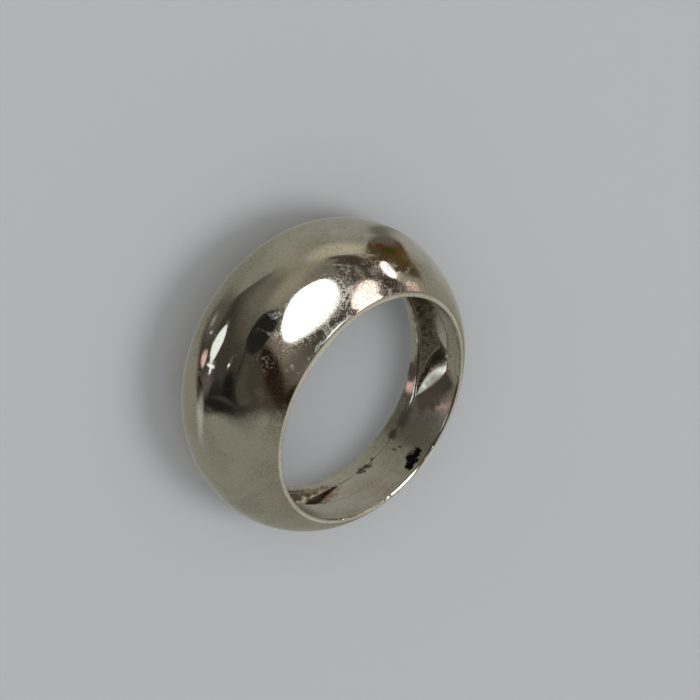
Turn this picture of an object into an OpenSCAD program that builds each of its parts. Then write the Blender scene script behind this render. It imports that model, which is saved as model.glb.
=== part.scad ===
// Dome ring: one casting, hollow under the dome, lying on its side.
// The finger hole is a true round bore. The dome and the hollow are swept round it
// by functions of the angle from the apex, so every size follows from the values below.

/* [Finger hole] */
// Radius of the finger hole
finger_r = 8.75; // [7.5:0.05:10.5]

/* [Band] */
// Width of the band at the finger hole, halfway between apex and shank
band_w = 6.08; // [5.4:0.02:8]
// How much wider than that the band is at the apex, and narrower at the shank
band_taper = 1.09; // [0:0.02:1.6]

/* [Rim] */
// Width of the flat rim at the apex
rim_apex = 0.57; // [0.4:0.02:0.8]
// Width of the flat rim at the shank
rim_shank = 0.36; // [0.24:0.02:0.5]
// How far the ground flat of the rim stands proud of the flank beside it
rim_land = 0.03; // [0.02:0.01:0.06]

/* [Dome] */
// Height of the dome over the finger hole at the apex
rise_apex = 6.9; // [4.5:0.1:7.5]
// Height a sixth of a turn from the apex
rise_sixth = 4; // [3:0.05:4.5]
// Height a quarter of a turn from the apex
rise_quarter = 2.55; // [1.9:0.05:3]
// Thickness in the middle of the shank
rise_shank = 1.35; // [1:0.05:1.7]
// Roundness of the flanks: a power of the cosine across the band, at apex and shank
flank_power = [0.7, 1.6]; // [0.6:0.05:1.7]
// Roundness of the crown: a power of the sine across the band, at apex and shank
crown_power = [0.6, 0.8]; // [0.6:0.05:1.1]
// How far round its arch the dome starts, which sets the crease between rim and flank
arch_start = 20; // [10:1:30]

/* [Hollow] */
// Width of the lip that the hollow leaves along the lower rim
lower_lip = 0.8; // [0.7:0.05:1.4]
// Width of the lower lip at the tips of the hollow
lower_lip_tip = 1.25; // [0.9:0.05:1.6]
// Width of the lip along the upper rim under the dome
upper_lip = 1.05; // [0.9:0.05:1.4]
// Width of the upper lip at the ring's two sides, the side towards +Y first
upper_lip_sides = [2.7, 1.5]; // [1.4:0.05:3]
// Width of the upper lip at the tips of the hollow
upper_lip_tip = 3.75; // [3:0.05:4]
// Wall left over the hollow at the apex
wall_apex = 0.95; // [0.7:0.05:1.2]
// Wall left over the hollow at its ends
wall_end = 0.38; // [0.35:0.01:0.6]
// Middle of the solid shank, as an angle from the apex
shank_angle = 172.5; // [165:0.5:195]
// Half the angle over which the shank is solid
solid_half_angle = 29.5; // [22:0.5:40]
// Angle over which the hollow opens out from its tips
tip_angle = 20; // [10:1:40]
// Depth that the hollow gains per degree at its tips
end_slope = 0.035; // [0.02:0.005:0.08]
// How fast that slope steepens, per degree
end_curve = 0.001; // [0:0.0005:0.003]
// Where the hollow is deepest across its width, from -1 at its lower edge to 1 at its upper edge
deepest = 0.6; // [-0.6:0.1:0.8]
// Angles from the middle of the shank between which the upper lip narrows under the dome
lip_narrows = [85, 140]; // [60:1:160]

/* [Groove] */
// Width of the fine groove that joins the hollow's tips across the shank
groove_w = 0.14; // [0.1:0.01:0.3]
// Depth of the fine groove
groove_d = 0.09; // [0.06:0.01:0.15]

/* [Hidden] */

turn_step = 5;            // degrees between the sections round the ring
across_steps = 20;        // steps across the dome in one section
hollow_steps = 8;         // steps across the hollow in one section
skirt = 0.5;              // how far the sweep runs past the rims before they are cut
inner_gap = 1;            // how far the sweeps start inside the finger hole
bore_sides = 180;
tarnished = [0.55, 0.53, 0.47];

// The dome's height is a sum of four cosines through the four rises above.
ends_mean = (rise_apex + rise_shank) / 2;
ends_half = (rise_apex - rise_shank) / 2;
rise_0 = (ends_mean + rise_quarter) / 2;
rise_2 = (ends_mean - rise_quarter) / 2;
rise_3 = (rise_0 + 0.5 * ends_half - 0.5 * rise_2 - rise_sixth) / 1.5;
rise_1 = ends_half - rise_3;

half_mid = band_w / 2;
rim_slope = band_taper / 2 / finger_r;   // each rim is a plane that leans by this slope
lean = atan(rim_slope);

// Mean of a value at the apex and one at the shank, by the angle from the apex
function blend(ends, angle) = (ends[0] + ends[1]) / 2 + (ends[0] - ends[1]) / 2 * cos(angle);
function rise(angle) = rise_0 + rise_1 * cos(angle) + rise_2 * cos(2 * angle) + rise_3 * cos(3 * angle);
function rim_w(angle) = blend([rim_apex, rim_shank], angle);
// Height of the rim's plane over the middle of the band, at a radius and an angle
function rim_z(r, angle) = half_mid + rim_slope * r * cos(angle);
function at_angle(r, angle, z) = [r * cos(angle), r * sin(angle), z];

// One section of the dome: up the lower flank, over the crown and down the upper flank.
// s runs from arch_start to 180 - arch_start.
function arch_lift(angle, sine) =
    let (power = blend(crown_power, angle), start = pow(sin(arch_start), power))
    (pow(sine, power) - start) / (1 - start);
function dome_r(angle, s) = finger_r + rim_w(angle)
    + (rise(angle) - rim_w(angle)) * arch_lift(angle, sin(s));
function flank_z(angle) = rim_z(finger_r + rim_w(angle), angle) - rim_land;
function dome_z(angle, s) =
    -sign(cos(s)) * pow(abs(cos(s)) / cos(arch_start), blend(flank_power, angle)) * flank_z(angle);
function dome_section(angle) =
    let (inner = finger_r - inner_gap, edge = finger_r + rim_w(angle), top = rim_z(edge, angle) + skirt)
    concat(
        [[inner, -top], [edge, -top]],
        [for (i = [0 : across_steps])
            let (s = arch_start + (180 - 2 * arch_start) * i / across_steps)
            [dome_r(angle, s), dome_z(angle, s)]],
        [[edge, top], [inner, top]]
    );

// Height of the dome's surface over the finger hole, at a place across the band
function cover(angle, z) =
    let (
        reach = min(1, abs(z) / flank_z(angle)),
        c = cos(arch_start) * pow(reach, 1 / blend(flank_power, angle))
    )
    rim_w(angle) + (rise(angle) - rim_w(angle)) * arch_lift(angle, sqrt(max(0, 1 - c * c)));

// Angle from the middle of the shank, 0 to 180
function from_shank(angle) = 180 - abs(180 - ((angle - shank_angle + 360) % 360));
function share_of(value, start, end) = min(1, max(0, (value - start) / (end - start)));
// How near a place is to the hollow's tips: 1 at a tip, 0 once the hollow has opened out
function tip_share(angle) =
    pow(1 - share_of(from_shank(angle), solid_half_angle, solid_half_angle + tip_angle), 1.3);
function upper_lip_w(angle) =
    let (side = (angle - shank_angle + 360) % 360 > 180 ? upper_lip_sides[0] : upper_lip_sides[1])
    side
    + (upper_lip - side) * share_of(from_shank(angle), lip_narrows[0], lip_narrows[1])
    + (upper_lip_tip - side) * tip_share(angle);
function lower_lip_w(angle) = lower_lip + (lower_lip_tip - lower_lip) * tip_share(angle);
function hollow_low(angle) = -rim_z(finger_r, angle) + lower_lip_w(angle);
function hollow_high(angle) =
    from_shank(angle) <= solid_half_angle
        ? hollow_low(angle) + groove_w
        : max(hollow_low(angle) + groove_w, rim_z(finger_r, angle) - upper_lip_w(angle));
function wall(angle) = wall_end + (wall_apex - wall_end) * max(0, cos(angle));
// Share of the full depth across the hollow, whose bottom is round: 0 at both edges
function round_share(across) =
    across < deepest
        ? sqrt((1 + across) / (1 + deepest))
        : sqrt(1 - pow((across - deepest) / (1 - deepest), 2));
function hollow_depth(angle, z, across) =
    let (past_tip = max(0, from_shank(angle) - solid_half_angle))
    max(groove_d, min(
        cover(angle, z) - wall(angle),
        (groove_d + end_slope * past_tip + end_curve * past_tip * past_tip) * round_share(across)
    ));
function hollow_section(angle) =
    let (inner = finger_r - inner_gap, low = hollow_low(angle), high = hollow_high(angle))
    concat(
        [[inner, low]],
        [for (i = [0 : hollow_steps])
            let (across = -cos(180 * i / hollow_steps), z = (low + high + (high - low) * across) / 2)
            [finger_r + hollow_depth(angle, z, across), z]],
        [[inner, high]]
    );

function swept_points(sections, angles) =
    [for (i = [0 : len(angles) - 1]) for (p = sections[i]) at_angle(p[0], angles[i], p[1])];

// A closed sweep round the ring; sections run from low to high on their outer side
module sweep(sections, angles) {
    rings = len(angles);
    n = len(sections[0]);
    quads = [for (i = [0 : rings - 1]) for (j = [0 : n - 1])
        [i * n + j, ((i + 1) % rings) * n + j, ((i + 1) % rings) * n + (j + 1) % n, i * n + (j + 1) % n]];
    faces = [for (q = quads) for (half = [0, 1])
        half == 0 ? [q[2], q[1], q[0]] : [q[3], q[2], q[0]]];
    polyhedron(points = swept_points(sections, angles), faces = faces, convexity = 10);
}

dome_angles = [for (a = [0 : turn_step : 359]) a];
dome_sections = [for (a = dome_angles) dome_section(a)];
hollow_angles = [for (a = [shank_angle : turn_step : shank_angle + 359]) a];
hollow_sections = [for (a = hollow_angles) hollow_section(a)];

// Where the ring reaches along X once it has been laid on its lower rim
laid_x = [for (i = [0 : len(dome_angles) - 1]) for (p = dome_sections[i])
    if (abs(p[1]) <= rim_z(p[0], dome_angles[i]) + 0.001)
        p[0] * cos(dome_angles[i]) * cos(lean) - p[1] * sin(lean)];
centre_x = (min(laid_x) + max(laid_x)) / 2;

// Everything past the plane of one rim
module beyond_rim() {
    size = 4 * finger_r;
    translate([0, 0, half_mid])
        rotate([0, -lean, 0])
            translate([-size / 2, -size / 2, 0])
                cube([size, size, size / 4]);
}

module ring_upright() {
    difference() {
        sweep(dome_sections, dome_angles);
        beyond_rim();
        mirror([0, 0, 1]) beyond_rim();
        cylinder(r = finger_r, h = 2 * band_w, center = true, $fn = bore_sides);
        sweep(hollow_sections, hollow_angles);
    }
}

module dome_ring() {
    color(tarnished)
        translate([-centre_x, 0, half_mid * cos(lean)])
            rotate([0, -lean, 0])
                ring_upright();
}

dome_ring();
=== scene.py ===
import math

import bmesh
import bpy
from mathutils import Matrix, Vector


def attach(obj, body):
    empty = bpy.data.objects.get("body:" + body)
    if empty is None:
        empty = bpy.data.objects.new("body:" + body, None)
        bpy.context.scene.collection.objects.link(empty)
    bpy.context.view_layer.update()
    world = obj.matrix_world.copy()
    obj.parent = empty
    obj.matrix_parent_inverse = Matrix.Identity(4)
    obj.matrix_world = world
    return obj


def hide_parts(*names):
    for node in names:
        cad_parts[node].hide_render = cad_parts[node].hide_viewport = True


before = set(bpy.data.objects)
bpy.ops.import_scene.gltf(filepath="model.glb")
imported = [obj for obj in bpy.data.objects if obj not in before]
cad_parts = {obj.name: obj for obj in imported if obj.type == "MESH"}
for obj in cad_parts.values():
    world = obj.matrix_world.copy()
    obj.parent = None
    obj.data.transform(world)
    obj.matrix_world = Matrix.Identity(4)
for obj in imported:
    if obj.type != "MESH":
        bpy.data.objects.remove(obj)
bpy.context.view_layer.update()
mm = 0.001
print("frame loaded:", sorted(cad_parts))


def directionTo(setup):
    # unit vector towards the setup's azimuth and elevation
    azimuth, elevation = math.radians(setup["azimuth"]), math.radians(setup["elevation"])
    return Vector((
        math.cos(elevation) * math.cos(azimuth),
        math.cos(elevation) * math.sin(azimuth),
        math.sin(elevation),
    ))


def viewTurn(setup):
    # the axes of a view from that direction: right, up and back
    upright = directionTo(setup).to_track_quat("Z", "Y").to_matrix()
    return upright @ Matrix.Rotation(math.radians(setup["roll"]), 3, "Z")


# Camera: the photograph's angle to the ring, turned about its own axis as there
cameraSetup = {
    "azimuth": 7.613,      # degrees from +X, seen from above
    "elevation": 44.207,
    "roll": 119.843,       # degrees about the view axis
    "distance": 160 * mm,
    "aim": (-1.475 * mm, -2.684 * mm, 2.071 * mm),
    "lens": 113.8,
    "sensor": 36.0,
    "clip": (0.01, 20.0),
}


def placeCamera(setup):
    data = bpy.data.cameras.new("photoCamera")
    data.lens = setup["lens"]
    data.sensor_width = setup["sensor"]
    data.clip_start, data.clip_end = setup["clip"]
    camera = bpy.data.objects.new("photoCamera", data)
    place = Vector(setup["aim"]) + directionTo(setup) * setup["distance"]
    camera.matrix_world = Matrix.Translation(place) @ viewTurn(setup).to_4x4()
    bpy.context.scene.collection.objects.link(camera)
    bpy.context.scene.camera = camera
    print("camera placed")


placeCamera(cameraSetup)


# The ring's sizes in millimetres, the same as the solid's
ring = {
    "fingerRadius": 8.75,
    "bandWidth": 6.08,                 # halfway between apex and shank
    "bandTaper": 1.09,                 # how much wider it is at the apex, and narrower at the shank
    "rimWidth": (0.57, 0.36),          # at the apex and at the shank
    "rimLand": 0.03,                   # how far the rim stands proud of the flank beside it
    "riseApex": 6.9,                   # the dome's height over the finger hole at the apex
    "riseSixth": 4.0,                  # and a sixth of a turn from it
    "riseQuarter": 2.55,
    "riseShank": 1.35,
    "flankPower": (0.7, 1.6),          # roundness of the flanks, at the apex and at the shank
    "crownPower": (0.6, 0.8),
    "archStart": math.radians(20),     # how far round its arch the dome starts
    "lowerLip": 0.8,                   # width of the lip between the hollow and the lower rim
    "lowerLipTip": 1.25,               # the same at the hollow's tips
    "upperLip": 1.05,
    "upperLipSides": (2.7, 1.5),       # at the ring's two sides, the side towards +Y first
    "upperLipTip": 3.75,
    "wall": (0.95, 0.38),              # left over the hollow, at the apex and at its ends
    "shankAngle": math.radians(172.5),
    "solidHalfAngle": math.radians(29.5),
    "tipAngle": math.radians(20),      # over which the hollow opens out from its tips
    "tipPower": 1.3,                   # how sharply
    "lipNarrows": (math.radians(85), math.radians(140)),
    "grooveWidth": 0.14,
    "grooveDepth": 0.09,
    "endSlope": 0.035,                 # depth gained per degree at the hollow's tips
    "endCurve": 0.001,                 # how fast that slope steepens
    "deepest": 0.6,                    # where the hollow is deepest, from -1 to 1 across it
    "steps": 720,                      # sections round the ring, a multiple of 8
    "domeSteps": 50,                   # steps across the dome in one section
    "rimSteps": 6,
    "roundSteps": 3,                   # steps round each small rounding
    "lipSteps": (30, 7),               # across the upper lip and the lower one
    "roofSteps": 22,                   # across the hollow
    "mouthRound": 0.07,                # rounding of the hollow's mouth
    "mouthShares": (0.25, 0.8),        # the most of the hollow's width and depth that it takes
    "mouthWear": (0.35, 0.05),         # width and depth of the wear beside the hollow's mouth
    "wearOpens": (0.1, 0.1),           # radians before and past the hollow's tips where that starts
    "shadeAndGrimeOpens": (0.05, 0.15),        # the same for the painted shade and grime along the mouth
    "edgeRound": 0.07,                 # rounding of the hole's edges
    "edgeDarkLine": 0.3,                  # width of the darker line beside the upper one
    "hollowFade": 0.3,                 # depth at which the hollow's own finish is full
    "creaseRound": 0.07,               # width of the worn crease between rim and dome
    "rimCrown": 0.02,                  # how far the middle of the rim stands proud of its edges
    "rimWear": 0.07,                   # how far the upper rim is rubbed down at the hole, at one place
    "rimWearAngles": [math.radians(degrees) for degrees in (146, 154, 168, 178)],
    # share of the groove's depth left by wear, at angles in degrees
    "grooveWear": [
        (143, 1), (150, 0.25), (158, 0.9), (166, 0.5), (176, 0.2), (188, 0.3), (198, 0.5), (202, 1),
    ],
}

# The dome's height is a sum of four cosines through the four rises
endsMean = (ring["riseApex"] + ring["riseShank"]) / 2
endsHalf = (ring["riseApex"] - ring["riseShank"]) / 2
rise0 = (endsMean + ring["riseQuarter"]) / 2
rise2 = (endsMean - ring["riseQuarter"]) / 2
rise3 = (rise0 + 0.5 * endsHalf - 0.5 * rise2 - ring["riseSixth"]) / 1.5
rise1 = endsHalf - rise3
rimSlope = ring["bandTaper"] / 2 / ring["fingerRadius"]
lean = math.atan(rimSlope)


def blend(ends, angle):
    return (ends[0] + ends[1]) / 2 + (ends[0] - ends[1]) / 2 * math.cos(angle)


def rise(angle):
    return rise0 + rise1 * math.cos(angle) + rise2 * math.cos(2 * angle) + rise3 * math.cos(3 * angle)


def rimZ(radius, angle):
    return ring["bandWidth"] / 2 + rimSlope * radius * math.cos(angle)


def rimEdge(angle):
    return ring["fingerRadius"] + blend(ring["rimWidth"], angle)


def archLift(angle, sine):
    power = blend(ring["crownPower"], angle)
    start = math.sin(ring["archStart"]) ** power
    return (max(sine, 0.0) ** power - start) / (1 - start)


def domePoint(angle, s):
    edge = rimEdge(angle)
    cosine = math.cos(s)
    share = (abs(cosine) / math.cos(ring["archStart"])) ** blend(ring["flankPower"], angle)
    radius = edge + (rise(angle) - blend(ring["rimWidth"], angle)) * archLift(angle, math.sin(s))
    return radius, -math.copysign(share, cosine) * (rimZ(edge, angle) - ring["rimLand"])


def cover(angle, z):
    # height of the dome's surface over the finger hole
    edge = rimEdge(angle)
    reach = min(1.0, abs(z) / (rimZ(edge, angle) - ring["rimLand"]))
    c = math.cos(ring["archStart"]) * reach ** (1 / blend(ring["flankPower"], angle))
    width = blend(ring["rimWidth"], angle)
    return width + (rise(angle) - width) * archLift(angle, math.sqrt(max(0.0, 1 - c * c)))


def fromShank(angle):
    return math.pi - abs(math.pi - ((angle - ring["shankAngle"] + 2 * math.pi) % (2 * math.pi)))


def shareOf(value, start, end):
    return min(1.0, max(0.0, (value - start) / (end - start)))


def tipShare(angle):
    # 1 at the hollow's tips, 0 once the hollow has opened out
    solid = ring["solidHalfAngle"]
    return (1 - shareOf(fromShank(angle), solid, solid + ring["tipAngle"])) ** ring["tipPower"]


def lipWidth(angle):
    narrow = shareOf(fromShank(angle), *ring["lipNarrows"])
    turned = (angle - ring["shankAngle"]) % (2 * math.pi)
    side, tip = ring["upperLipSides"][0 if turned > math.pi else 1], ring["upperLipTip"]
    return side + (ring["upperLip"] - side) * narrow + (tip - side) * tipShare(angle)


def hollowLow(angle):
    lip = ring["lowerLip"] + (ring["lowerLipTip"] - ring["lowerLip"]) * tipShare(angle)
    return -rimZ(ring["fingerRadius"], angle) + lip


def hollowHigh(angle):
    narrow = hollowLow(angle) + ring["grooveWidth"]
    if fromShank(angle) <= ring["solidHalfAngle"]:
        return narrow
    return max(narrow, rimZ(ring["fingerRadius"], angle) - lipWidth(angle))


def grooveShare(degrees):
    stops = ring["grooveWear"]
    for (start, first), (end, second) in zip(stops, stops[1:]):
        if degrees < end:
            return first + (second - first) * shareOf(degrees, start, end)
    return stops[-1][1]


def roundShare(across):
    # share of the full depth across the hollow, from -1 at its lower edge to 1 at its upper edge
    deepest = ring["deepest"]
    if across < deepest:
        return math.sqrt(max(0.0, 1 + across) / (1 + deepest))
    return math.sqrt(max(0.0, 1 - ((across - deepest) / (1 - deepest)) ** 2))


def hollowDepth(angle, z, across):
    wall = ring["wall"][1] + (ring["wall"][0] - ring["wall"][1]) * max(0.0, math.cos(angle))
    pastTip = math.degrees(max(0.0, fromShank(angle) - ring["solidHalfAngle"]))
    ramp = ring["grooveDepth"] + (ring["endSlope"] + ring["endCurve"] * pastTip) * pastTip
    if fromShank(angle) < ring["solidHalfAngle"]:
        return ring["grooveDepth"] * grooveShare(math.degrees(angle))
    return max(ring["grooveDepth"], min(cover(angle, z) - wall, ramp * roundShare(across)))


def sharesOf(kind, steps, ends=True, backwards=False):
    # even steps along one kind of surface, without its ends where the neighbours hold them
    shares = [i / steps for i in range(steps + 1)]
    if not ends:
        shares = shares[1:-1]
    return [(kind, 1 - share if backwards else share) for share in shares]


# One section of the ring as a list of places: a kind, and how far along that kind it lies
sectionPlan = (
    sharesOf("dome", ring["domeSteps"])
    + sharesOf("upperRim", ring["rimSteps"], ends=False)
    + sharesOf("upperHoleEdge", ring["roundSteps"])
    + sharesOf("upperLip", ring["lipSteps"][0], ends=False)
    + sharesOf("upperMouth", ring["roundSteps"])
    + sharesOf("roof", ring["roofSteps"])
    + sharesOf("lowerMouth", ring["roundSteps"], backwards=True)
    + sharesOf("lowerLip", ring["lipSteps"][1], ends=False)
    + sharesOf("lowerHoleEdge", ring["roundSteps"], backwards=True)
    + sharesOf("lowerRim", ring["rimSteps"], ends=False, backwards=True)
)

# Dents in the finger hole's wall: angle in degrees, height, radius and depth in mm
wallPits = [
    (147.2, 1.70, 0.16, 0.05), (137.4, 1.16, 0.13, 0.04), (124.1, 1.59, 0.12, 0.04),
    (150.0, 0.98, 0.12, 0.04), (164.1, 1.36, 0.13, 0.04), (173.6, -0.29, 0.22, 0.06),
    (176.4, -0.02, 0.16, 0.05), (174.9, 1.5, 0.75, 0.06),
]
# Nicks in the ground rims: angle, side (1 for the upper rim), radius and depth
rimNicks = [
    (150.5, 1, 0.3, 0.02), (121.0, 1, 0.22, 0.025), (186.0, 1, 0.25, 0.015), (113.0, -1, 0.3, 0.04),
    (158.0, -1, 0.3, 0.04), (262.0, 1, 0.2, 0.02), (318.0, -1, 0.3, 0.04), (40.0, 1, 0.18, 0.02),
]


def quarterRound(share):
    # how far along the first face and the second, of a quarter round that runs between them
    angle = share * math.pi / 2
    return 1 - math.sin(angle), 1 - math.cos(angle)


def bumpBetween(angle, edges):
    # 0, rising to 1 and falling back to 0 over the four edges
    start, full, fade, end = edges
    return shareOf(angle, start, full) * (1 - shareOf(angle, fade, end))


def rimDrop(angle, share, side):
    # how far the crown and the wear take the rim below its plane; share is 0 at the dome, 1 at the hole
    drop = ring["rimCrown"] * (2 * share - 1) ** 2
    if side > 0:
        drop += ring["rimWear"] * share * bumpBetween(angle, ring["rimWearAngles"])
    return drop


def rimPoint(angle, share, side):
    # across the rim from the dome to the finger hole; the crease beside the dome is worn round
    finger, edge = ring["fingerRadius"], rimEdge(angle)
    radius = edge + (finger + ring["edgeRound"] - edge) * share
    worn = max(0.0, 1 - (edge - radius) / ring["creaseRound"])
    return radius, rimZ(radius, angle) - ring["rimLand"] * worn ** 2 - rimDrop(angle, share, side)


def mouthSize(angle):
    # the rounding fits inside the hollow, also at its narrow tips
    high = hollowHigh(angle)
    width, depth = high - hollowLow(angle), hollowDepth(angle, high, 1)
    widthShare, depthShare = ring["mouthShares"]
    return min(ring["mouthRound"], width * widthShare, depth * depthShare)


def mouthPoint(angle, share, side):
    size = mouthSize(angle)
    along, out = quarterRound(share)
    z = hollowHigh(angle) + size * along if side > 0 else hollowLow(angle) - size * along
    return ring["fingerRadius"] + size * out, z


def roofPoint(angle, share):
    # from the upper edge of the hollow, across its bottom, to the lower edge
    low, high = hollowLow(angle), hollowHigh(angle)
    across = math.cos(share * math.pi)
    z = (low + high + (high - low) * across) / 2
    return ring["fingerRadius"] + hollowDepth(angle, z, across), z


def sectionPoint(kind, share, angle):
    finger = ring["fingerRadius"]
    top = rimZ(finger, angle)
    side = 1 if kind.startswith("upper") else -1
    if kind == "dome":
        return domePoint(angle, ring["archStart"] + (math.pi - 2 * ring["archStart"]) * share)
    if kind.endswith("Rim"):
        radius, z = rimPoint(angle, share, side)
        return radius, side * z
    if kind.endswith("HoleEdge"):
        out, down = quarterRound(share)
        z = top - rimDrop(angle, 1, side) - ring["edgeRound"] * down
        return finger + ring["edgeRound"] * out, side * z
    if kind.endswith("Mouth"):
        return mouthPoint(angle, share, side)
    if kind == "roof":
        return roofPoint(angle, share)
    if kind == "upperLip":
        start = top - rimDrop(angle, 1, side) - ring["edgeRound"]
        end = hollowHigh(angle) + mouthSize(angle)
    else:
        start = hollowLow(angle) - mouthSize(angle)
        end = -top + rimDrop(angle, 1, side) + ring["edgeRound"]
    return finger, start + (end - start) * share


def mouthAway(kind, angle, z):
    # distance from the mouth of the hollow, across the lips
    return max(0.0, z - hollowHigh(angle) if kind.startswith("upper") else hollowLow(angle) - z)


def openShare(angle, fade):
    # 0 on the solid shank, 1 where the hollow is open
    solid = ring["solidHalfAngle"]
    return shareOf(fromShank(angle), solid - fade[0], solid + fade[1])


def mouthShare(kind, angle, z):
    # 1 at the mouth of the hollow, 0 a millimetre away on the lips and along the fine groove
    if not kind.endswith(("Lip", "Mouth")):
        return 0.0
    return openShare(angle, ring["shadeAndGrimeOpens"]) * max(0.0, 1 - mouthAway(kind, angle, z))


def edgeShare(kind, angle, z):
    # 1 on the wall right beside the upper edge of the finger hole
    if kind != "upperLip":
        return 0.0
    away = rimZ(ring["fingerRadius"], angle) - ring["edgeRound"] - z
    return max(0.0, 1 - away / ring["edgeDarkLine"])


def mouthWear(kind, angle, z):
    # the lips dip towards the hollow
    width, depth = ring["mouthWear"]
    away = mouthAway(kind, angle, z) / width
    return depth * openShare(angle, ring["wearOpens"]) * max(0.0, 1 - away) ** 2


def dent(angle, degrees, off, size, depth):
    # depth of a round dent, seen from a point by its angle and its distance off to the side
    along = (angle - math.radians(degrees)) * ring["fingerRadius"]
    away = math.hypot(along, off) / size
    return depth * (1 - away * away) ** 2 if away < 1 else 0.0


def wear(kind, angle, radius, z):
    # the worn mouth, and the pits and nicks as real dents
    if kind.endswith(("Lip", "Mouth")):
        radius += mouthWear(kind, angle, z)
    if kind.endswith(("Lip", "HoleEdge", "Mouth")):
        for degrees, height, size, depth in wallPits:
            radius += dent(angle, degrees, z - height, size, depth)
    if kind.endswith(("Rim", "HoleEdge")):
        for degrees, side, size, depth in rimNicks:
            if side * z > 0:
                z -= side * dent(angle, degrees, radius - ring["fingerRadius"], size, depth)
    return radius, z


def surfaceMasks(kind, share, angle, radius, z):
    # what the material reads at each point
    inside = 1.0 if kind == "roof" else 0.0
    depth = radius - ring["fingerRadius"]
    return {
        "hollow": inside * min(1.0, depth / ring["hollowFade"]),
        "deep": inside * depth,
        "far": inside * (1 - math.cos(share * math.pi)) / 2,    # 0 at the upper edge, 1 at the lower
        "wall": 1.0 if kind.endswith("Lip") else 0.0,
        "mouth": mouthShare(kind, angle, z),
        "edge": edgeShare(kind, angle, z),
        "across": z,
    }


maskNames = ["hollow", "deep", "far", "wall", "mouth", "edge", "across"]


def spinPlan(mesh, spacing):
    # one upright line of points for the section plan, spun round into a full ring
    line = [mesh.verts.new((1.0, 0.0, i * spacing)) for i in range(len(sectionPlan))]
    edges = [mesh.edges.new((line[i - 1], line[i])) for i in range(len(line))]
    # an eighth of the ring is spun and then doubled three times, which is quicker than a full turn
    eighth = 360 / 8
    bmesh.ops.spin(
        mesh, geom=line + edges, cent=(0, 0, 0), axis=(0, 0, 1), dvec=(0, 0, 0),
        angle=math.radians(eighth), steps=ring["steps"] // 8, use_merge=False, use_duplicate=False,
    )
    for degrees in (eighth, 2 * eighth, 4 * eighth):
        whole = mesh.verts[:] + mesh.edges[:] + mesh.faces[:]
        copied = bmesh.ops.duplicate(mesh, geom=whole)["geom"]
        verts = [element for element in copied if isinstance(element, bmesh.types.BMVert)]
        turn = Matrix.Rotation(math.radians(degrees), 3, "Z")
        bmesh.ops.rotate(mesh, cent=(0, 0, 0), matrix=turn, verts=verts)
    bmesh.ops.remove_doubles(mesh, verts=mesh.verts, dist=spacing / 100)


def buildRing():
    print("building the ring")
    mesh = bmesh.new()
    spacing = 0.01
    spinPlan(mesh, spacing)
    layers = {name: mesh.verts.layers.float.new(name) for name in maskNames}
    for vert in mesh.verts:
        kind, share = sectionPlan[round(vert.co.z / spacing)]
        angle = math.atan2(vert.co.y, vert.co.x) % (2 * math.pi)
        radius, z = wear(kind, angle, *sectionPoint(kind, share, angle))
        vert.co = (radius * math.cos(angle) * mm, radius * math.sin(angle) * mm, z * mm)
        for name, value in surfaceMasks(kind, share, angle, radius, z).items():
            vert[layers[name]] = value
    # laid down on its lower rim, and centred
    bmesh.ops.transform(mesh, matrix=Matrix.Rotation(-lean, 4, "Y"), verts=mesh.verts)
    xs = [vert.co.x for vert in mesh.verts]
    shift = Vector((-(min(xs) + max(xs)) / 2, 0, -min(vert.co.z for vert in mesh.verts)))
    bmesh.ops.translate(mesh, vec=shift, verts=mesh.verts)
    bmesh.ops.recalc_face_normals(mesh, faces=mesh.faces)
    for face in mesh.faces:
        face.smooth = True
    data = bpy.data.meshes.new("dome_ring_smooth")
    mesh.to_mesh(data)
    mesh.free()
    piece = bpy.data.objects.new("dome_ring_smooth", data)
    bpy.context.scene.collection.objects.link(piece)
    box = [round(size / mm, 3) for size in piece.dimensions]
    print("ring:", len(data.vertices), "vertices, box in mm", box)
    return piece, shift


ringPiece, ringShift = buildRing()


# Small helpers for shader nodes
def addNode(tree, kind, **settings):
    node = tree.nodes.new(kind)
    for name, value in settings.items():
        setattr(node, name, value)
    return node


def layOut(tree):
    # rows of nodes, in the order in which they were made
    for i, node in enumerate(tree.nodes):
        node.location = (i % 12 * 220, -(i // 12) * 320)


def setInput(tree, node, name, value):
    if isinstance(value, bpy.types.NodeSocket):
        tree.links.new(value, node.inputs[name])
    else:
        node.inputs[name].default_value = value


def mathNode(tree, operation, first, second=0.0):
    node = addNode(tree, "ShaderNodeMath", operation=operation)
    setInput(tree, node, 0, first)
    setInput(tree, node, 1, second)
    return node.outputs[0]


def addUp(tree, value, parts):
    # the value and each part's mask times its amount
    for mask, amount in parts:
        value = mathNode(tree, "ADD", value, mathNode(tree, "MULTIPLY", mask, amount))
    return value


def vectorNode(tree, operation, first, second=None, scale=None):
    node = addNode(tree, "ShaderNodeVectorMath", operation=operation)
    setInput(tree, node, 0, first)
    if second is not None:
        setInput(tree, node, 1, second)
    if scale is not None:
        setInput(tree, node, "Scale", scale)
    return node.outputs["Value" if operation == "LENGTH" else "Vector"]


def noiseNode(tree, vector, scale, detail, roughness, distortion=0.0):
    node = addNode(tree, "ShaderNodeTexNoise")
    setInput(tree, node, "Vector", vector)
    setInput(tree, node, "Scale", scale)
    setInput(tree, node, "Detail", detail)
    setInput(tree, node, "Roughness", roughness)
    setInput(tree, node, "Distortion", distortion)
    return node.outputs["Fac"]


def rangeNode(tree, value, low, high, toLow=0.0, toHigh=1.0, smooth=True):
    node = addNode(tree, "ShaderNodeMapRange", interpolation_type="SMOOTHSTEP" if smooth else "LINEAR")
    for i, entry in enumerate((value, low, high, toLow, toHigh)):
        setInput(tree, node, i, entry)
    return node.outputs[0]


def mixColour(tree, share, first, second):
    node = addNode(tree, "ShaderNodeMix", data_type="RGBA", blend_type="MIX")
    setInput(tree, node, 0, share)
    setInput(tree, node, 6, first)
    setInput(tree, node, 7, second)
    return node.outputs[2]


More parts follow.
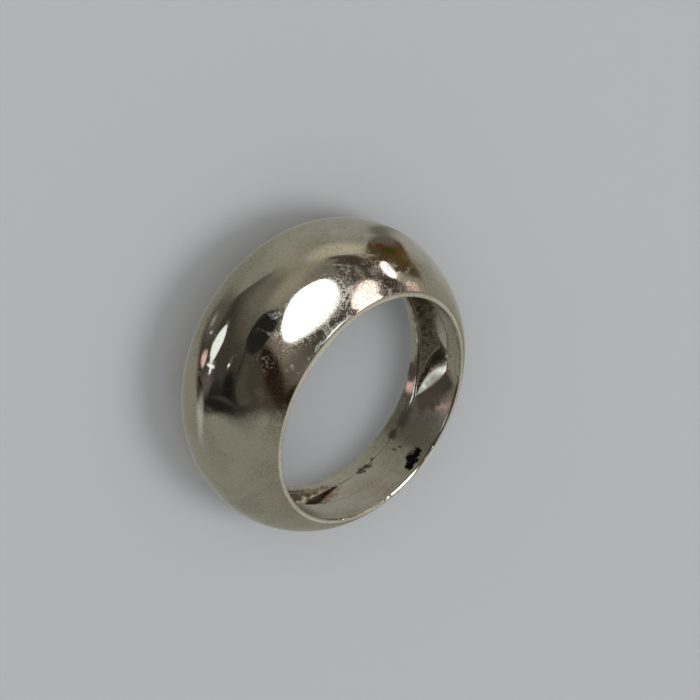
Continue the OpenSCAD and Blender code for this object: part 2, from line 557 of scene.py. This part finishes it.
def attributeNode(tree, name):
    return addNode(tree, "ShaderNodeAttribute", attribute_name=name).outputs["Fac"]


def colour(red, green, blue):
    return (red, green, blue, 1.0)


def startGroup(name, inputs, outputs):
    group = bpy.data.node_groups.new(name, "ShaderNodeTree")
    for label, kind, value in inputs:
        socket = group.interface.new_socket(label, in_out="INPUT", socket_type=kind)
        if value is not None:
            socket.default_value = value
    for label, kind in outputs:
        group.interface.new_socket(label, in_out="OUTPUT", socket_type=kind)
    return group, addNode(group, "NodeGroupInput"), addNode(group, "NodeGroupOutput")


def endGroup(group, leave, **results):
    for name, value in results.items():
        group.links.new(value, leave.inputs[name])
    layOut(group)
    return group


def useGroup(tree, group, **values):
    node = addNode(tree, "ShaderNodeGroup")
    node.node_tree = group
    for name, value in values.items():
        setInput(tree, node, name, value)
    return node


floatKind, vectorKind = "NodeSocketFloat", "NodeSocketVector"


def buildSpeckleGroup():
    # dull specks and fine pits, gathered into patches
    group, entry, leave = startGroup(
        "tarnishSpecks",
        [("Place", vectorKind, None), ("Speck Scale", floatKind, 9.0), ("Patch Scale", floatKind, 0.3),
         ("Amount", floatKind, 0.5)],
        [("Specks", floatKind), ("Patches", floatKind)],
    )
    place, speck, patch, amount = (entry.outputs[i] for i in range(4))
    fine = noiseNode(group, place, speck, 3.0, 0.62)
    patches = rangeNode(group, noiseNode(group, place, patch, 2.0, 0.55, 0.6), 0.36, 0.66)
    # a speck is where the fine noise passes an edge, which is lower inside the patches
    rareEdge, amountDrop, patchDrop, blur = 0.78, -0.3, -0.1, 0.09
    edge = addUp(group, rareEdge, ((amount, amountDrop), (patches, patchDrop)))
    specks = rangeNode(group, fine, edge, mathNode(group, "ADD", edge, blur))
    return endGroup(group, leave, Specks=specks, Patches=patches)


def buildScratchGroup():
    # hairlines in one direction: long thin ridges of a stretched noise
    group, entry, leave = startGroup(
        "hairScratches",
        [("Place", vectorKind, None), ("Turn", vectorKind, None), ("Length", floatKind, 0.25),
         ("Fineness", floatKind, 14.0), ("Rarity", floatKind, 0.5)],
        [("Scratches", floatKind)],
    )
    place, turn, length, fineness, rarity = (entry.outputs[i] for i in range(5))
    turned = addNode(group, "ShaderNodeMapping", vector_type="POINT")
    setInput(group, turned, "Vector", place)
    setInput(group, turned, "Rotation", turn)
    stretch = addNode(group, "ShaderNodeCombineXYZ")
    setInput(group, stretch, "X", length)
    setInput(group, stretch, "Y", fineness)
    setInput(group, stretch, "Z", mathNode(group, "MULTIPLY", fineness, 0.4))
    stretched = vectorNode(group, "MULTIPLY", turned.outputs[0], stretch.outputs[0])
    lines = noiseNode(group, stretched, 1.0, 1.0, 0.4)
    # a hairline is where the stretched noise crosses its middle, broken up by a slower one
    lineWidth, breakBlur = 0.018, 0.1
    centred = mathNode(group, "ABSOLUTE", mathNode(group, "SUBTRACT", lines, 0.5))
    thin = rangeNode(group, centred, 0.0, lineWidth, 1.0, 0.0)
    full = mathNode(group, "ADD", rarity, breakBlur)
    breaks = rangeNode(group, noiseNode(group, place, 0.9, 2.0, 0.6), rarity, full)
    return endGroup(group, leave, Scratches=mathNode(group, "MULTIPLY", thin, breaks))


def buildSpotGroup():
    # one spot with a ragged edge
    group, entry, leave = startGroup(
        "raggedSpot",
        [("Place", vectorKind, None), ("Centre", vectorKind, None), ("Radius", floatKind, 0.8),
         ("Raggedness", floatKind, 0.5), ("Grain", floatKind, 2.0), ("Softness", floatKind, 0.18)],
        [("Spot", floatKind)],
    )
    place, centre, radius, ragged, grain, soft = (entry.outputs[i] for i in range(6))
    away = vectorNode(group, "LENGTH", vectorNode(group, "SUBTRACT", place, centre))
    wobble = mathNode(group, "SUBTRACT", noiseNode(group, place, grain, 3.0, 0.6), 0.5)
    away = mathNode(group, "ADD", away, mathNode(group, "MULTIPLY", wobble, ragged))
    inner = mathNode(group, "MULTIPLY", radius, mathNode(group, "SUBTRACT", 1.0, soft))
    return endGroup(group, leave, Spot=rangeNode(group, away, inner, radius, 1.0, 0.0))


speckleGroup = buildSpeckleGroup()
scratchGroup = buildScratchGroup()
spotGroup = buildSpotGroup()


plate = {
    "bright": colour(0.60, 0.57, 0.46),
    "dull": colour(0.46, 0.435, 0.34),
    "speck": colour(0.20, 0.185, 0.13),
    "worn": colour(0.34, 0.30, 0.22),
    # painted reflection: the hollow's brown as the wall would mirror it
    "brownReflection": colour(0.15, 0.125, 0.095),
    "hollow": colour(0.21, 0.172, 0.095),
    "copper": colour(0.42, 0.29, 0.20),
    # the dark end of the painted shade and dirt in the hollow
    "shadeAndGrime": colour(0.07, 0.056, 0.034),
    "stain": colour(0.022, 0.021, 0.020),
    # the colour that each mark lays over the metal, and how much of the metal it covers
    "cover": {
        "patches": ("dull", 0.4), "specks": ("speck", 0.32),
        "wornLines": ("worn", 0.3), "brownReflection": ("brownReflection", 0.9),
    },
    # how much of the metal the painted shade and grime along the mouth cover
    "shadeAndGrimeCover": 0.8,
    # how far the painted shade and film deep in the hollow darken it
    "deepShadeFilmCover": 0.55,
    "shadeAndDirtMetal": 0.8,                    # how far the painted shade and dirt take away the metal
    # noises in millimetres: scale, detail and roughness
    "noise": {
        "ragged": (2.2, 3.0, 0.65), "copper": (1.6, 2.0, 0.6), "wornLines": (1.0, 2.0, 0.6),
        "mottle": (1.9, 4.0, 0.65), "haze": (15.0, 2.0, 0.6), "waves": (0.8, 1.0, 0.5),
        "grain": (8.0, 2.0, 0.6),
    },
    # values between which each mark comes in, where 0 to 1 is the whole of its mask and noise
    "range": {
        "mouthShadeAndGrime": (1.35, 1.75), "edgeDarkLine": (1.15, 1.65), "shadeAndDirt": (1.12, 1.30),
        "copper": (0.45, 0.62), "wornLines": (0.4, 0.65), "mottle": (0.38, 0.62), "haze": (0.42, 0.66),
    },
    "deepShadeFilmDepths": (1.0, 1.6),            # depths in mm between which the painted shade and film deep in the hollow come in
    "raggedness": 1.5,                   # how far the ragged noise moves the edges of the grime
    "shadeAndDirtParts": (0.15, 0.35),           # shares of the depth and of that noise in the edge of the painted shade and dirt
    "roughness": (0.025, 0.06),          # where the plating is clear and where it is hazy
    "wallRoughness": (0.09, 0.24),       # added on the finger hole's wall, low down and at the upper rim
    "wallDulls": (0.9, 2.1),             # heights in mm between which that changes
    "markRoughness": {
        "specks": 0.07, "brownReflection": 0.3, "shadeAndGrime": 0.2, "hollow": 0.05, "shadeAndDirt": 0.35, "stain": 0.5,
    },
    "markHeights": {"waves": 1.0, "grain": 0.14, "specks": -0.14, "wornLines": 0.35},
    "hairHeight": -0.25,
    "hairTurns": [(0.3, 0.2, 0.4), (1.1, 0.5, 1.9)],
    "hairRarity": 0.54,
    "heightUnit": 0.0035 * mm,
    "specks": {"Speck Scale": 7.5, "Patch Scale": 0.25, "Amount": 0.7},
    # painted reflection of the hollow's brown, in dull spots on the finger hole's wall: angle in
    # degrees, height and radius in mm
    "brownReflectionSpots": [
        (216, 1.2, 1.3), (210, 0.3, 1.8), (203, 0.0, 1.6), (193, -1.3, 1.0), (187, -1.35, 0.8),
        (181, -1.5, 0.6), (214, -2.3, 0.8), (163, -1.35, 0.4), (159.5, -1.25, 0.5), (156, -1.2, 0.4),
    ],
    "brownReflectionEdge": {"Raggedness": 2.2, "Grain": 0.9, "Softness": 0.6},
    "stainSpots": [(178.4, 1.58, 0.62), (175.0, 1.6, 0.74), (171.8, 1.72, 0.5)],
    "stainEdge": {"Raggedness": 1.3, "Grain": 1.9, "Softness": 0.5},
    "copperSide": (-3.0, 3.0),           # places along Y in mm between which the copper comes in
    "copperShares": (0.12, 1.0),         # and its share before and past them
    "lineScale": (7.0, 0.25),            # of the worn lines, across the wall and along it
}


def wallPlace(degrees, z):
    # a point of the finger hole's wall in millimetres, once the ring is laid down and centred
    angle, radius = math.radians(degrees), ring["fingerRadius"]
    point = Vector((radius * math.cos(angle), radius * math.sin(angle), z))
    return Matrix.Rotation(-lean, 3, "Y") @ point + ringShift / mm


def spotsMask(tree, place, spots, edge):
    # one mask of several ragged spots on the finger hole's wall
    mask = None
    for degrees, z, radius in spots:
        centre = wallPlace(degrees, z)
        spot = useGroup(tree, spotGroup, Place=place, Centre=centre, Radius=radius, **edge).outputs[0]
        mask = spot if mask is None else mathNode(tree, "MAXIMUM", mask, spot)
    return mask


def plateNoise(tree, place, name):
    return noiseNode(tree, place, *plate["noise"][name])


def comesIn(tree, value, name):
    return rangeNode(tree, value, *plate["range"][name])


def buildMarks(tree, place):
    # every mark on the plate as a mask
    marks = {name: attributeNode(tree, name) for name in maskNames}
    specks = useGroup(tree, speckleGroup, Place=place, **plate["specks"])
    marks["specks"], marks["patches"] = specks.outputs["Specks"], specks.outputs["Patches"]
    marks["stain"] = spotsMask(tree, place, plate["stainSpots"], plate["stainEdge"])
    # painted reflection of the hollow's brown, in spots on the finger hole's wall
    marks["brownReflection"] = spotsMask(tree, place, plate["brownReflectionSpots"], plate["brownReflectionEdge"])
    # painted shade and grime lie raggedly along the mouth of the hollow, with a thin darker line beside
    # the hole's edge
    ragged = mathNode(tree, "MULTIPLY", plateNoise(tree, place, "ragged"), plate["raggedness"])
    mouthShadeAndGrime = comesIn(tree, mathNode(tree, "ADD", marks["mouth"], ragged), "mouthShadeAndGrime")
    edgeDarkLine = comesIn(tree, mathNode(tree, "ADD", marks["edge"], ragged), "edgeDarkLine")
    shadeAndGrime = mathNode(tree, "MAXIMUM", mouthShadeAndGrime, edgeDarkLine)
    marks["shadeAndGrime"] = mathNode(tree, "MULTIPLY", shadeAndGrime, plate["shadeAndGrimeCover"])
    # painted shade and dirt darken the hollow along its lower side, and painted shade with a thin film
    # darkens it deep under the dome
    deepPart, raggedPart = plate["shadeAndDirtParts"]
    lowSide = addUp(tree, marks["far"], ((marks["deep"], deepPart), (ragged, raggedPart)))
    deepShadeFilm = rangeNode(tree, marks["deep"], *plate["deepShadeFilmDepths"], 0.0, plate["deepShadeFilmCover"])
    shadeAndDirt = mathNode(tree, "MAXIMUM", comesIn(tree, lowSide, "shadeAndDirt"), deepShadeFilm)
    marks["shadeAndDirt"] = mathNode(tree, "MULTIPLY", marks["hollow"], shadeAndDirt)
    # copper shows through in the hollow, mostly on one side of the ring
    sideways = addNode(tree, "ShaderNodeSeparateXYZ")
    setInput(tree, sideways, 0, place)
    oneSide = rangeNode(tree, sideways.outputs["Y"], *plate["copperSide"], *plate["copperShares"])
    blotches = comesIn(tree, plateNoise(tree, place, "copper"), "copper")
    marks["copper"] = mathNode(tree, "MULTIPLY", blotches, oneSide)
    # lines worn round the finger hole
    acrossScale, alongScale = plate["lineScale"]
    lines = addNode(tree, "ShaderNodeCombineXYZ")
    setInput(tree, lines, "X", mathNode(tree, "MULTIPLY", marks["across"], acrossScale))
    drift = vectorNode(tree, "SCALE", place, scale=alongScale)
    stretched = vectorNode(tree, "ADD", lines.outputs[0], drift)
    wornLines = comesIn(tree, plateNoise(tree, stretched, "wornLines"), "wornLines")
    marks["wornLines"] = mathNode(tree, "MULTIPLY", marks["wall"], wornLines)
    # slow unevenness and fine grain of the polish
    for name in ("waves", "grain"):
        marks[name] = plateNoise(tree, place, name)
    return marks


def plateColour(tree, place, marks):
    base = plate["bright"]
    # the marks laid over the metal, the painted reflection of the hollow's brown among them
    for name, (tint, amount) in plate["cover"].items():
        base = mixColour(tree, mathNode(tree, "MULTIPLY", marks[name], amount), base, plate[tint])
    # painted shade and grime darken the metal along the hollow's mouth, with a darker line by the hole's
    # edge
    base = mixColour(tree, marks["shadeAndGrime"], base, plate["hollow"])
    inside = mixColour(tree, marks["copper"], plate["bright"], plate["copper"])
    base = mixColour(tree, marks["hollow"], base, inside)
    # painted shade and dirt, mottled, along the hollow's lower side and deep under the dome
    mottle = comesIn(tree, plateNoise(tree, place, "mottle"), "mottle")
    shadeAndDirt = mixColour(tree, mottle, plate["shadeAndGrime"], plate["hollow"])
    base = mixColour(tree, marks["shadeAndDirt"], base, shadeAndDirt)
    return mixColour(tree, marks["stain"], base, plate["stain"])


def plateRoughness(tree, place, marks):
    haze = plateNoise(tree, place, "haze")
    rough = rangeNode(tree, haze, *plate["range"]["haze"], *plate["roughness"], smooth=False)
    wallDull = rangeNode(tree, marks["across"], *plate["wallDulls"], *plate["wallRoughness"])
    parts = [(marks[name], amount) for name, amount in plate["markRoughness"].items()]
    rough = addUp(tree, rough, [(marks["wall"], wallDull)] + parts)
    return mathNode(tree, "MINIMUM", rough, 1.0)


def plateHeight(tree, place, marks):
    parts = [(marks[name], amount) for name, amount in plate["markHeights"].items()]
    for turn in plate["hairTurns"]:
        hairs = useGroup(tree, scratchGroup, Place=place, Turn=turn, Rarity=plate["hairRarity"])
        parts.append((hairs.outputs[0], plate["hairHeight"]))
    return addUp(tree, 0.0, parts)


def buildPlateMaterial():
    print("building the tarnished plate")
    material = bpy.data.materials.new("tarnished_plate_worn")
    material.use_nodes = True
    tree = material.node_tree
    tree.nodes.clear()
    output = addNode(tree, "ShaderNodeOutputMaterial")
    shader = addNode(tree, "ShaderNodeBsdfPrincipled")
    tree.links.new(shader.outputs[0], output.inputs[0])
    # places are in millimetres of the ring's own coordinates
    coordinates = addNode(tree, "ShaderNodeTexCoord")
    place = vectorNode(tree, "SCALE", coordinates.outputs["Object"], scale=1 / mm)
    marks = buildMarks(tree, place)
    tree.links.new(plateColour(tree, place, marks), shader.inputs["Base Color"])
    tree.links.new(plateRoughness(tree, place, marks), shader.inputs["Roughness"])
    # where the painted shade and dirt lie, some of the metal gives way
    covered = mathNode(tree, "MULTIPLY", marks["shadeAndDirt"], plate["shadeAndDirtMetal"])
    tree.links.new(mathNode(tree, "SUBTRACT", 1.0, covered), shader.inputs["Metallic"])
    bump = addNode(tree, "ShaderNodeBump")
    bump.inputs["Strength"].default_value = 1.0
    bump.inputs["Distance"].default_value = plate["heightUnit"]
    tree.links.new(plateHeight(tree, place, marks), bump.inputs["Height"])
    tree.links.new(bump.outputs[0], shader.inputs["Normal"])
    layOut(tree)
    return material


ringPiece.data.materials.append(buildPlateMaterial())
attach(ringPiece, "root")
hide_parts("dome_ring")
print("ring finished")


# The floor is a plain pale sheet
floorSetup = {"size": 3.0, "colour": colour(0.62, 0.64, 0.665), "roughness": 0.75, "specular": 0.2}


def buildFloor():
    mesh = bmesh.new()
    bmesh.ops.create_grid(mesh, x_segments=2, y_segments=2, size=floorSetup["size"] / 2)
    data = bpy.data.meshes.new("floor")
    mesh.to_mesh(data)
    mesh.free()
    floor = bpy.data.objects.new("floor", data)
    bpy.context.scene.collection.objects.link(floor)
    material = bpy.data.materials.new("palePaper")
    material.use_nodes = True
    shader = material.node_tree.nodes["Principled BSDF"]
    shader.inputs["Base Color"].default_value = floorSetup["colour"]
    shader.inputs["Roughness"].default_value = floorSetup["roughness"]
    shader.inputs["Specular IOR Level"].default_value = floorSetup["specular"]
    data.materials.append(material)
    floor.visible_glossy = False    # the metal mirrors the studio's sweep in its place


buildFloor()


# The studio is laid out as a mirror ball in the ring's place would show it from one side:
# x to the right and y up, both from -1 to 1. It is fixed in the world.
studio = {
    "azimuth": 7.613,      # the side that the ball is seen from, in degrees
    "elevation": 44.207,
    "roll": 119.843,
    "sweep": (0.322, 0.32, 0.295),
    "sky": (0.402, 0.394, 0.386),
}
# Each card or softbox: name, centre, half sizes, turn in degrees, softness, squareness, light
studioCards = [
    ("upperSweep", (0.22, 0.68), (0.50, 0.24), -22, 0.8, 2.0, (0.42, 0.41, 0.40)),
    ("sideSweep", (0.86, 0.45), (0.16, 0.50), 20, 0.8, 2.0, (0.46, 0.46, 0.46)),
    ("rimSweep", (0.70, -0.46), (0.12, 0.12), 20, 0.6, 2.0, (0.63, 0.63, 0.62)),
    ("rimGlint", (0.76, -0.53), (0.04, 0.04), 0, 0.6, 2.0, (1.6, 1.4, 1.3)),
    ("darkFlag", (-0.01, -0.01), (0.72, 0.45), -4, 0.035, 3.0, (0.070, 0.064, 0.058)),
    ("flagFade", (0.40, 0.30), (0.60, 0.22), -40, 0.45, 2.2, (0.37, 0.36, 0.325)),
    ("flagGlow", (0.14, 0.10), (0.42, 0.17), -38, 0.8, 2.0, (0.20, 0.19, 0.165)),
    ("flagPatch", (0.38, 0.03), (0.11, 0.15), 20, 0.8, 2.0, (0.38, 0.36, 0.31)),
    ("brightSweep", (0.50, 0.29), (0.22, 0.09), -42, 0.6, 2.2, (0.62, 0.59, 0.52)),
    ("flagSheen", (-0.50, -0.20), (0.16, 0.07), -25, 0.7, 2.0, (0.15, 0.135, 0.135)),
    ("flagFoot", (-0.12, -0.395), (0.42, 0.055), -8, 0.45, 2.5, (0.018, 0.018, 0.018)),
    ("flagFootTop", (-0.22, -0.325), (0.17, 0.05), -10, 0.5, 2.0, (0.028, 0.026, 0.026)),
    ("flagFootEnd", (0.08, -0.36), (0.12, 0.065), -20, 0.5, 2.0, (0.014, 0.014, 0.014)),
    ("flagFootLines", (0.0, -0.40), (0.28, 0.010), -10, 0.6, 2.0, (0.06, 0.055, 0.055)),
    ("flagSide", (-0.70, 0.04), (0.018, 0.22), 0, 0.6, 2.0, (0.03, 0.03, 0.025)),
    ("flagShoulder", (-0.605, 0.315), (0.19, 0.075), 57, 0.75, 2.0, (0.16, 0.152, 0.132)),
    ("flagStreak", (-0.645, -0.165), (0.085, 0.012), -42, 0.4, 2.0, (0.022, 0.02, 0.014)),
    ("wedgeCard", (0.35, -0.365), (0.13, 0.065), 5, 0.15, 2.5, (0.095, 0.085, 0.068)),
    ("flagCorner", (0.46, -0.375), (0.14, 0.055), -12, 0.25, 2.4, (0.075, 0.066, 0.055)),
    ("warmHaze", (0.50, -0.31), (0.10, 0.05), -42, 0.5, 2.0, (0.23, 0.195, 0.17)),
    ("greyHaze", (0.57, 0.02), (0.08, 0.13), 25, 0.7, 2.0, (0.23, 0.215, 0.205)),
    ("blackFlag", (0.32, -0.18), (0.125, 0.090), -28, 0.08, 2.4, (0.022, 0.022, 0.022)),
    ("blackStem", (0.215, -0.30), (0.012, 0.10), -22, 0.5, 2.0, (0.045, 0.03, 0.02)),
    ("brownStem", (0.480, -0.350), (0.11, 0.030), -42, 0.3, 2.0, (0.022, 0.013, 0.009)),
    ("darkStreak", (0.650, -0.025), (0.050, 0.19), 20, 0.15, 2.2, (0.070, 0.058, 0.048)),
    ("darkStreakTop", (0.575, 0.14), (0.08, 0.022), -35, 0.4, 2.0, (0.085, 0.075, 0.06)),
    ("thinStreak", (0.59, 0.04), (0.075, 0.006), -44, 0.5, 2.0, (0.45, 0.43, 0.39)),
    ("thinStreakLow", (0.657, -0.07), (0.006, 0.065), 12, 0.5, 2.0, (0.42, 0.39, 0.35)),
    ("brownCardTop", (0.55, 0.70), (0.045, 0.26), 32, 0.7, 2.0, (0.19, 0.18, 0.16)),
    ("brownCard", (0.712, 0.24), (0.068, 0.29), 9, 0.10, 2.8, (0.105, 0.070, 0.038)),
    ("greyCard", (0.660, 0.46), (0.050, 0.12), 12, 0.6, 2.0, (0.16, 0.145, 0.13)),
    ("greenCard", (0.720, 0.245), (0.024, 0.060), 8, 0.5, 2.0, (0.05, 0.06, 0.008)),
    ("redCard", (0.683, 0.31), (0.013, 0.035), 8, 0.5, 2.0, (0.16, 0.03, 0.02)),
    ("tanCard", (0.767, 0.20), (0.020, 0.15), 3, 0.5, 2.0, (0.135, 0.078, 0.024)),
    ("paleEnd", (0.665, 0.125), (0.025, 0.018), -10, 0.4, 2.0, (0.42, 0.39, 0.33)),
    ("topSoftbox", (0.543, -0.18), (0.078, 0.127), 14, 0.05, 2.4, (3.0, 3.1, 3.4)),
    ("warmStrip", (0.718, -0.03), (0.012, 0.080), 4, 0.15, 2.2, (3.2, 2.9, 3.0)),
    ("warmEnd", (0.753, -0.13), (0.011, 0.032), -15, 0.4, 2.0, (1.1, 0.85, 0.82)),
    ("warmStripLow", (0.670, -0.207), (0.018, 0.070), -6, 0.12, 2.0, (2.9, 2.5, 2.6)),
    ("leftSoftbox", (-0.458, 0.050), (0.132, 0.132), -18, 0.08, 1.5, (1.30, 1.42, 1.60)),
    ("leftStripEnd", (-0.47, -0.135), (0.035, 0.022), -30, 0.4, 2.0, (1.5, 1.6, 1.8)),
    ("leftStrip", (-0.475, -0.100), (0.120, 0.014), -24, 0.4, 2.0, (1.5, 1.6, 1.8)),
    ("pinkSoftbox", (-0.668, 0.015), (0.034, 0.060), 0, 0.25, 2.0, (1.1, 0.76, 0.78)),
    ("smallStrip", (-0.63, 0.28), (0.010, 0.045), -28, 0.5, 2.0, (0.6, 0.6, 0.6)),
    ("smallSpot", (-0.64, 0.195), (0.012, 0.010), 0, 0.5, 2.0, (0.9, 0.9, 0.9)),
    ("lowGlow", (-0.60, -0.38), (0.075, 0.12), 15, 0.6, 2.4, (0.56, 0.57, 0.60)),
    ("tinyStrip", (0.01, -0.245), (0.022, 0.008), -12, 0.4, 2.0, (2.0, 2.0, 2.0)),
]


def buildCardGroup():
    group, entry, leave = startGroup(
        "studioCard",
        [("Ball", vectorKind, None), ("Centre", vectorKind, None), ("Half Size", vectorKind, None),
         ("Turn", floatKind, 0.0), ("Softness", floatKind, 0.2), ("Squareness", floatKind, 2.0)],
        [("Card", floatKind)],
    )
    ball, centre, half, turn, soft, square = (entry.outputs[i] for i in range(6))
    turned = addNode(group, "ShaderNodeVectorRotate", rotation_type="Z_AXIS")
    setInput(group, turned, "Vector", vectorNode(group, "SUBTRACT", ball, centre))
    setInput(group, turned, "Angle", turn)
    parts = addNode(group, "ShaderNodeSeparateXYZ")
    scaled = vectorNode(group, "DIVIDE", turned.outputs[0], half)
    setInput(group, parts, 0, vectorNode(group, "ABSOLUTE", scaled))
    across = mathNode(group, "POWER", parts.outputs[0], square)
    along = mathNode(group, "POWER", parts.outputs[1], square)
    root = mathNode(group, "DIVIDE", 1.0, square)
    away = mathNode(group, "POWER", mathNode(group, "ADD", across, along), root)
    low = mathNode(group, "SUBTRACT", 1.0, soft)
    high = mathNode(group, "ADD", 1.0, soft)
    return endGroup(group, leave, Card=rangeNode(group, away, low, high, 1.0, 0.0))


def buildStudio():
    print("building the studio")
    world = bpy.data.worlds.new("studio")
    world.use_nodes = True
    world.cycles.sampling_method = "NONE"
    bpy.context.scene.world = world
    tree = world.node_tree
    tree.nodes.clear()
    direction = addNode(tree, "ShaderNodeTexCoord").outputs["Generated"]
    aligned = addNode(tree, "ShaderNodeMapping", vector_type="POINT")
    setInput(tree, aligned, "Vector", direction)
    aligned.inputs["Rotation"].default_value = viewTurn(studio).inverted().to_euler()
    ball = vectorNode(tree, "NORMALIZE", vectorNode(tree, "ADD", aligned.outputs[0], (0.0, 0.0, 1.0)))
    flat = vectorNode(tree, "MULTIPLY", ball, (1.0, 1.0, 0.0))
    group = buildCardGroup()
    shade = colour(*studio["sweep"])
    for name, centre, half, turn, soft, square, light in studioCards:
        card = useGroup(tree, group, **{
            "Ball": flat, "Centre": (*centre, 0.0), "Half Size": (*half, 1.0),
            "Turn": math.radians(-turn), "Softness": soft, "Squareness": square,
        })
        card.label = name
        shade = mixColour(tree, card.outputs[0], shade, colour(*light))
    # the metal mirrors the cards, and the floor is lit by an even sky
    cards = addNode(tree, "ShaderNodeBackground")
    tree.links.new(shade, cards.inputs["Color"])
    sky = addNode(tree, "ShaderNodeBackground")
    sky.inputs["Color"].default_value = colour(*studio["sky"])
    chosen = addNode(tree, "ShaderNodeMixShader")
    mirrored = addNode(tree, "ShaderNodeLightPath").outputs["Is Glossy Ray"]
    for i, socket in enumerate((mirrored, sky.outputs[0], cards.outputs[0])):
        tree.links.new(socket, chosen.inputs[i])
    tree.links.new(chosen.outputs[0], addNode(tree, "ShaderNodeOutputWorld").inputs[0])
    layOut(tree)


buildStudio()


# Soft lights for the floor, which the metal doesn't mirror: where each one stands, by direction
# in degrees and distance in metres, its size across and its power
softLights = {
    "keyLight": {"azimuth": 213, "elevation": 64, "distance": 0.9, "size": 0.5, "power": 2.0},
    "frontLight": {"azimuth": 10, "elevation": 28, "distance": 0.9, "size": 0.9, "power": 2.2},
}


def buildSoftLight(name, setup):
    data = bpy.data.lights.new(name, "AREA")
    data.shape = "DISK"
    data.size = setup["size"]
    data.energy = setup["power"]
    light = bpy.data.objects.new(name, data)
    towards = directionTo(setup)
    light.matrix_world = (
        Matrix.Translation(towards * setup["distance"])
        @ towards.to_track_quat("Z", "Y").to_matrix().to_4x4()
    )
    light.visible_camera = False
    light.visible_glossy = False
    bpy.context.scene.collection.objects.link(light)


for lightName, lightSetup in softLights.items():
    buildSoftLight(lightName, lightSetup)

scene = bpy.context.scene
scene.view_settings.view_transform = "Standard"
scene.view_settings.look = "None"
print("lights placed")
